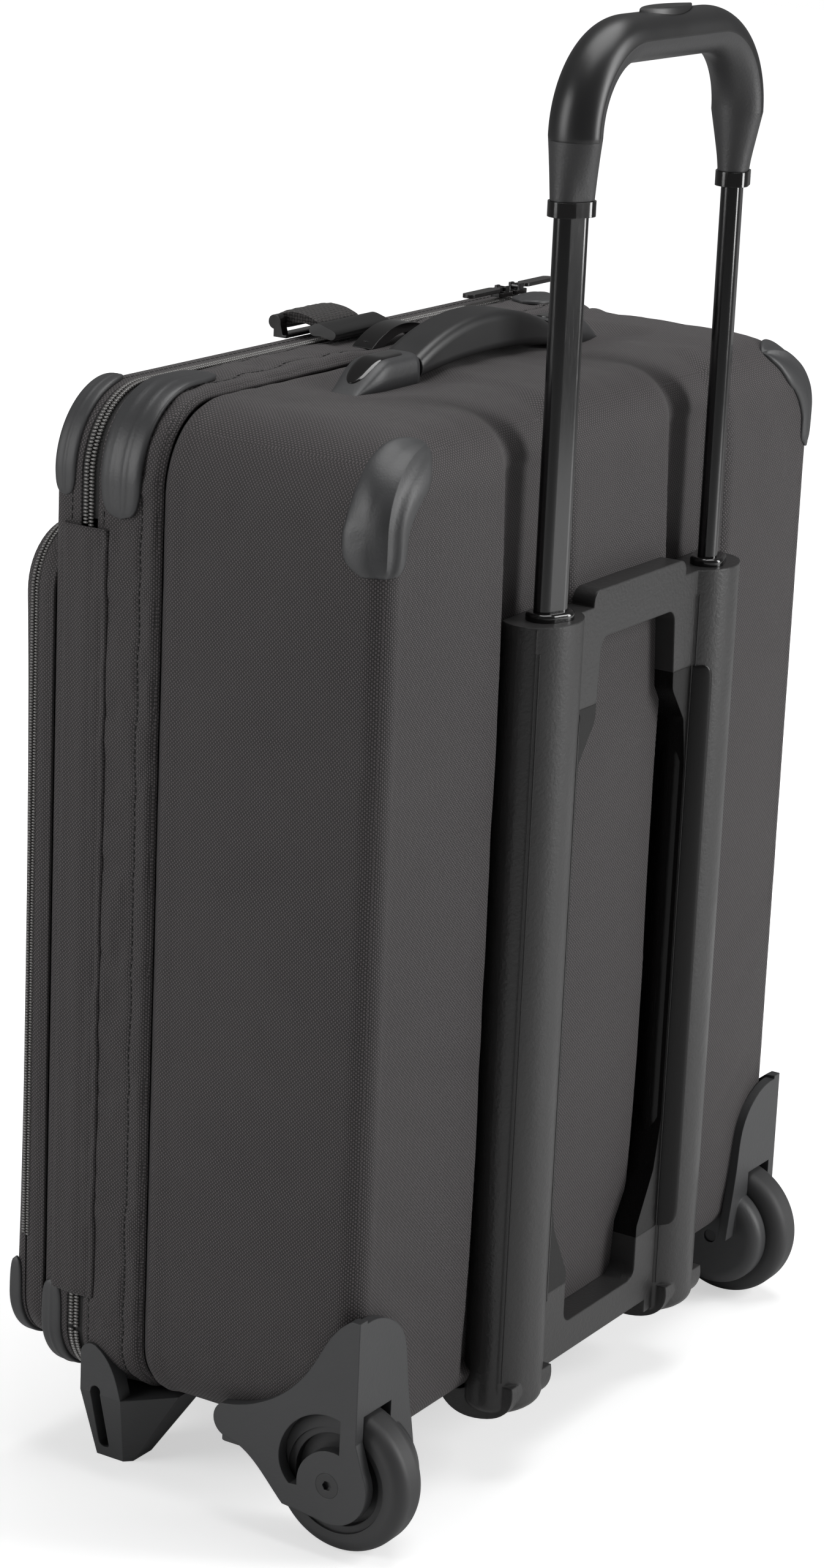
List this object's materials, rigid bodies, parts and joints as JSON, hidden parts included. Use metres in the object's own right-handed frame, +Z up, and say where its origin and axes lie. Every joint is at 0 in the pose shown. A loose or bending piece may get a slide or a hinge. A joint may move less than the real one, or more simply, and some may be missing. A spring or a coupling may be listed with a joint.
{
  "type": "softside upright suitcase",
  "caption": "Softside wheeled upright suitcase with pull-out trolley handle, side-opening zipped lid, front pocket, corner guards and front feet.",
  "frame": {"origin": "on the floor, half-way across the width and half-way through the overall depth", "axes": "+Z up, +Y towards the back where the trolley handle is, +X towards the side with the lid's fabric hinge"},
  "size_m": [0.468, 0.26, 0.7985],
  "materials": {
    "body_fabric": "ballistic nylon weave, charcoal",
    "lining_fabric": "plain polyester lining",
    "webbing": "black polyester webbing",
    "zipper_tape": "black zipper tape",
    "zipper_coil": "dark nylon coil",
    "guard_plastic": "dark grey moulded plastic, fine grain",
    "housing_plastic": "grained dark grey plastic",
    "gloss_black": "gloss black plastic",
    "tube_metal": "gloss black coated aluminium",
    "guide_metal": "mill finish aluminium",
    "steel": "plated steel",
    "dark_steel": "black oxide steel",
    "grip_rubber": "soft-touch black",
    "grip_plastic": "grey textured plastic",
    "tyre": "polyurethane tyre",
    "hub_plastic": "moulded nylon",
    "zinc_black": "black plated die-cast zinc"
  },
  "bodies": {
    "case": {"side_panel_left": "body_fabric", "side_panel_right": "body_fabric", "top_panel": "body_fabric", "bottom_panel": "body_fabric", "rear_panel": "body_fabric", "front_band": "body_fabric", "interior_lining": "lining_fabric", "mouth_wire": "steel", "case_zipper_tape": "zipper_tape", "case_zipper_teeth": "zipper_coil", "hinge_gusset": "body_fabric", "top_corner_guards": "guard_plastic", "wheel_bracket_left": "guard_plastic", "wheel_bracket_right": "guard_plastic", "axle_bolts": "dark_steel", "case_screws": "steel", "front_feet": "guard_plastic", "trolley_housing": "housing_plastic", "rail_inlays": "gloss_black", "guide_tubes": "guide_metal", "guide_bushings": "gloss_black", "backing_plates": "steel", "handle_caps": "guard_plastic", "cap_inlays": "gloss_black", "strap_anchor": "gloss_black", "tie_down_straps": "webbing", "tie_down_buckle": "gloss_black"},
    "trolley": {"trolley_tubes": "tube_metal", "tube_plugs": "hub_plastic", "grip_shell": "grip_rubber", "grip_liner": "grip_plastic", "grip_collars": "gloss_black"},
    "release_button": {"release_button": "grip_rubber"},
    "push_rod": {"push_rod": "guide_metal"},
    "latch_left": {"latch_pin_left": "steel"},
    "latch_right": {"latch_pin_right": "steel"},
    "wheel_left": {"tyre_left": "tyre", "hub_left": "hub_plastic", "bearings_left": "steel"},
    "wheel_right": {"tyre_right": "tyre", "hub_right": "hub_plastic", "bearings_right": "steel"},
    "carry_handle": {"carry_handle": "grip_rubber"},
    "lid": {"lid_panel": "body_fabric", "lid_band": "body_fabric", "lid_zipper_teeth": "zipper_coil", "lid_corner_guards": "guard_plastic", "lid_lining": "lining_fabric", "strap_loop": "gloss_black", "pocket_gusset": "body_fabric"},
    "pocket": {"pocket_flap": "body_fabric", "pocket_corner_guards": "guard_plastic"},
    "strap": {"strap_webbing": "webbing", "strap_hook": "gloss_black"},
    "top_slider": {"top_slider": "zinc_black"},
    "top_pull": {"top_pull": "zinc_black"},
    "far_slider": {"far_slider": "zinc_black"},
    "far_pull": {"far_pull": "zinc_black"},
    "pocket_slider": {"pocket_slider": "zinc_black"},
    "pocket_pull": {"pocket_pull": "zinc_black"}
  },
  "joints": [
    {"name": "trolley_slide", "type": "slide", "parent": "case", "child": "trolley", "axis": [0, 0, 1], "range_m": [-0.16, 0.22]},
    {"name": "button_press", "type": "slide", "parent": "trolley", "child": "release_button", "axis": [0, 0, -1], "range_m": [0, 0.004], "stiffness_N_per_m": 600, "springref_m": -0.002},
    {"name": "rod_push", "type": "slide", "parent": "trolley", "child": "push_rod", "axis": [0, 0, -1], "range_m": [0, 0.004]},
    {"name": "latch_left_slide", "type": "slide", "parent": "trolley", "child": "latch_left", "axis": [-0.9397, 0.342, 0], "range_m": [0, 0.003]},
    {"name": "latch_right_slide", "type": "slide", "parent": "trolley", "child": "latch_right", "axis": [0.9397, 0.342, 0], "range_m": [0, 0.003]},
    {"name": "wheel_left_spin", "type": "hinge", "parent": "case", "child": "wheel_left", "pos_m": [0.214, 0.088, 0.042], "axis": [1, 0, 0], "continuous": true},
    {"name": "wheel_right_spin", "type": "hinge", "parent": "case", "child": "wheel_right", "pos_m": [-0.214, 0.088, 0.042], "axis": [1, 0, 0], "continuous": true},
    {"name": "carry_handle_lift", "type": "slide", "parent": "case", "child": "carry_handle", "axis": [0, 0, 1], "range_m": [0, 0.008]},
    {"name": "lid_swing", "type": "hinge", "parent": "case", "child": "lid", "pos_m": [0.2314, -0.08315, 0.325], "axis": [0, 0, 1], "range_deg": [0, 110]},
    {"name": "pocket_open", "type": "hinge", "parent": "lid", "child": "pocket", "pos_m": [0, -0.118, 0.062], "axis": [1, 0, 0], "range_deg": [0, 75]},
    {"name": "strap_flip", "type": "hinge", "parent": "lid", "child": "strap", "pos_m": [0.003, -0.107, 0.609], "axis": [1, 0, 0], "range_deg": [0, 200]},
    {"name": "top_slider_run", "type": "slide", "parent": "case", "child": "top_slider", "axis": [1, 0, 0], "range_m": [0, 0.1]},
    {"name": "top_pull_flip", "type": "hinge", "parent": "top_slider", "child": "top_pull", "pos_m": [-0.171, -0.08315, 0.6071], "axis": [0, -1, 0], "range_deg": [0, 150]},
    {"name": "far_slider_run", "type": "hinge", "parent": "case", "child": "far_slider", "pos_m": [-0.185, -0.08315, 0.5565], "axis": [0, -1, 0], "range_deg": [0, 85]},
    {"name": "far_pull_flip", "type": "hinge", "parent": "far_slider", "child": "far_pull", "pos_m": [-0.187, -0.08315, 0.6071], "axis": [0, 1, 0], "range_deg": [0, 150]},
    {"name": "pocket_slider_run", "type": "slide", "parent": "lid", "child": "pocket_slider", "axis": [1, 0, 0], "range_m": [0, 0.3]},
    {"name": "pocket_pull_flip", "type": "hinge", "parent": "pocket_slider", "child": "pocket_pull", "pos_m": [-0.15, -0.118, 0.5294], "axis": [0, -1, 0], "range_deg": [0, 150]}
  ],
  "couplings": [
    {"joint": "rod_push", "follows": "button_press", "ratio": 1},
    {"joint": "latch_left_slide", "follows": "button_press", "ratio": 0.75},
    {"joint": "latch_right_slide", "follows": "button_press", "ratio": 0.75}
  ]
}
